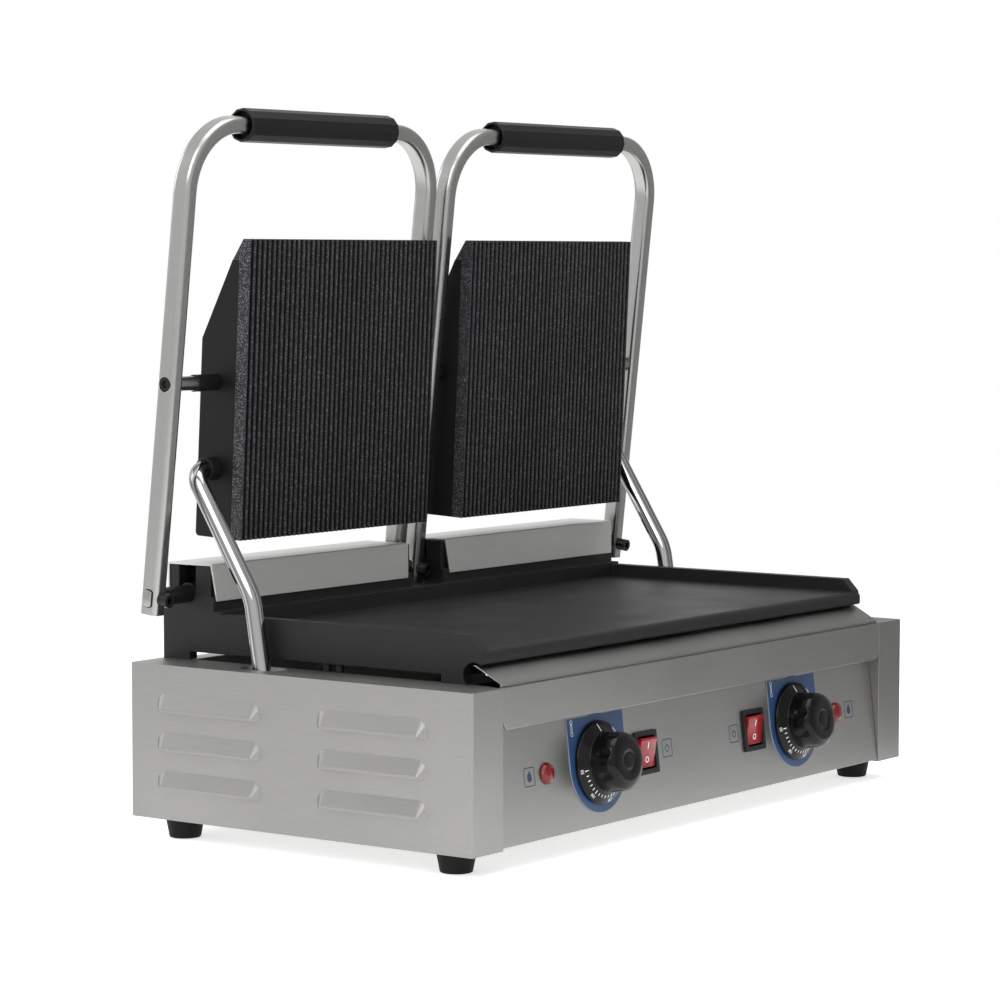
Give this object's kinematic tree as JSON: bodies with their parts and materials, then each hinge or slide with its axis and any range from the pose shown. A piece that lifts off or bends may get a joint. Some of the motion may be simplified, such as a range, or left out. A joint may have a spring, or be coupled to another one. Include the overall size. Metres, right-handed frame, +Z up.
{
  "type": "contact grill",
  "caption": "Double contact grill with two sprung lids, ribbed upper plates, a smooth lower plate, front controls and a grease drawer.",
  "frame": {"origin": "on the table, below the middle of the whole grill", "axes": "+X along the front to the cook's right, -Y towards the cook, +Z up"},
  "size_m": [0.5856, 0.3324, 0.5102],
  "materials": {
    "stainless": "brushed stainless sheet",
    "polished": "polished stainless tube",
    "cast_black": "black cast iron, fine texture",
    "ribbed_black": "ribbed cast iron with a speckled coating",
    "hood_black": "satin black paint",
    "black_plastic": "gloss black plastic",
    "matte_black": "matt black plastic",
    "rubber": "black rubber",
    "red_lens": "clear red plastic",
    "blue_plate": "blue printed plate",
    "steel": "plain steel",
    "spring_steel": "spring steel",
    "element": "sheathed heating tube",
    "aluminised": "aluminised sheet",
    "zinc_black": "black oxide steel",
    "ceramic": "cream terminal block"
  },
  "bodies": {
    "base": {"axle_bushes": "steel", "back_panel": "stainless", "bottom_plate": "stainless", "cable_gland": "matte_black", "control_panel": "stainless", "dial_plates": "blue_plate", "feet": "rubber", "grease_apron": "stainless", "heat_shield": "aluminised", "left_hinge_spring": "spring_steel", "left_lower_element": "element", "left_rear_cover": "stainless", "left_side_panel": "stainless", "left_thermostat": "matte_black", "lower_plate": "cast_black", "pilot_lamps": "red_lens", "plate_screws": "steel", "right_hinge_spring": "spring_steel", "right_lower_element": "element", "right_rear_cover": "stainless", "right_side_panel": "stainless", "right_thermostat": "matte_black", "switch_frames": "matte_black", "terminal_block": "ceramic", "tray_runners": "steel"},
    "left_arm": {"left_lid_arm": "stainless", "left_grip": "black_plastic", "left_hinge_axle": "steel", "left_lock_screws": "zinc_black", "left_plate_rod": "steel", "left_rod_sleeves": "zinc_black", "left_rod_plug": "matte_black", "left_spring_collars": "steel"},
    "left_lid": {"left_upper_plate": "ribbed_black", "left_upper_housing": "hood_black", "left_upper_element": "element", "left_conduit_bush": "matte_black"},
    "left_tube": {"left_conduit": "polished"},
    "left_dial": {"left_knob": "black_plastic"},
    "left_switch": {"left_rocker": "red_lens"},
    "right_arm": {"right_lid_arm": "stainless", "right_grip": "black_plastic", "right_hinge_axle": "steel", "right_lock_screws": "zinc_black", "right_plate_rod": "steel", "right_rod_sleeves": "zinc_black", "right_rod_plug": "matte_black", "right_spring_collars": "steel"},
    "right_lid": {"right_upper_plate": "ribbed_black", "right_upper_housing": "hood_black", "right_upper_element": "element", "right_conduit_bush": "matte_black"},
    "right_tube": {"right_conduit": "polished"},
    "right_dial": {"right_knob": "black_plastic"},
    "right_switch": {"right_rocker": "red_lens"},
    "drawer": {"drip_tray": "stainless"}
  },
  "joints": [
    {"name": "left_arm_hinge", "type": "hinge", "parent": "base", "child": "left_arm", "pos_m": [-0.149, 0.1308, 0.1701], "axis": [1, 0, 0], "range_deg": [0, 81.2]},
    {"name": "left_plate_swivel", "type": "hinge", "parent": "left_arm", "child": "left_lid", "pos_m": [-0.13035, 0.11452, 0.31901], "axis": [1, 0, 0], "range_deg": [-0.2, 6.3]},
    {"name": "left_conduit_swivel", "type": "hinge", "parent": "left_lid", "child": "left_tube", "pos_m": [-0.25, 0.11739, 0.25818], "axis": [1, 0, 0], "range_deg": [-41.6, 0.2]},
    {"name": "left_knob_turn", "type": "hinge", "parent": "base", "child": "left_dial", "pos_m": [-0.131, -0.13784, 0.0595], "axis": [0, 0.9934, -0.1148], "range_deg": [0, 270]},
    {"name": "left_rocker_tilt", "type": "hinge", "parent": "base", "child": "left_switch", "pos_m": [-0.072, -0.13685, 0.05939], "axis": [1, 0, 0], "range_deg": [-22, 0]},
    {"name": "right_arm_hinge", "type": "hinge", "parent": "base", "child": "right_arm", "pos_m": [0.149, 0.1308, 0.1701], "axis": [1, 0, 0], "range_deg": [0, 81.2]},
    {"name": "right_plate_swivel", "type": "hinge", "parent": "right_arm", "child": "right_lid", "pos_m": [0.13035, 0.11452, 0.31901], "axis": [1, 0, 0], "range_deg": [-0.2, 6.3]},
    {"name": "right_conduit_swivel", "type": "hinge", "parent": "right_lid", "child": "right_tube", "pos_m": [0.25, 0.11739, 0.25818], "axis": [1, 0, 0], "range_deg": [-41.6, 0.2]},
    {"name": "right_knob_turn", "type": "hinge", "parent": "base", "child": "right_dial", "pos_m": [0.131, -0.13784, 0.0595], "axis": [0, 0.9934, -0.1148], "range_deg": [0, 270]},
    {"name": "right_rocker_tilt", "type": "hinge", "parent": "base", "child": "right_switch", "pos_m": [0.072, -0.13685, 0.05939], "axis": [1, 0, 0], "range_deg": [-22, 0]},
    {"name": "drawer_slide", "type": "slide", "parent": "base", "child": "drawer", "axis": [0, -1, 0], "range_m": [0, 0.06]}
  ],
  "couplings": [
    {"joint": "left_plate_swivel", "follows": "left_arm_hinge", "ratio": 0.075123},
    {"joint": "left_conduit_swivel", "follows": "left_arm_hinge", "ratio": -0.50862},
    {"joint": "right_plate_swivel", "follows": "right_arm_hinge", "ratio": 0.075123},
    {"joint": "right_conduit_swivel", "follows": "right_arm_hinge", "ratio": -0.50862}
  ]
}
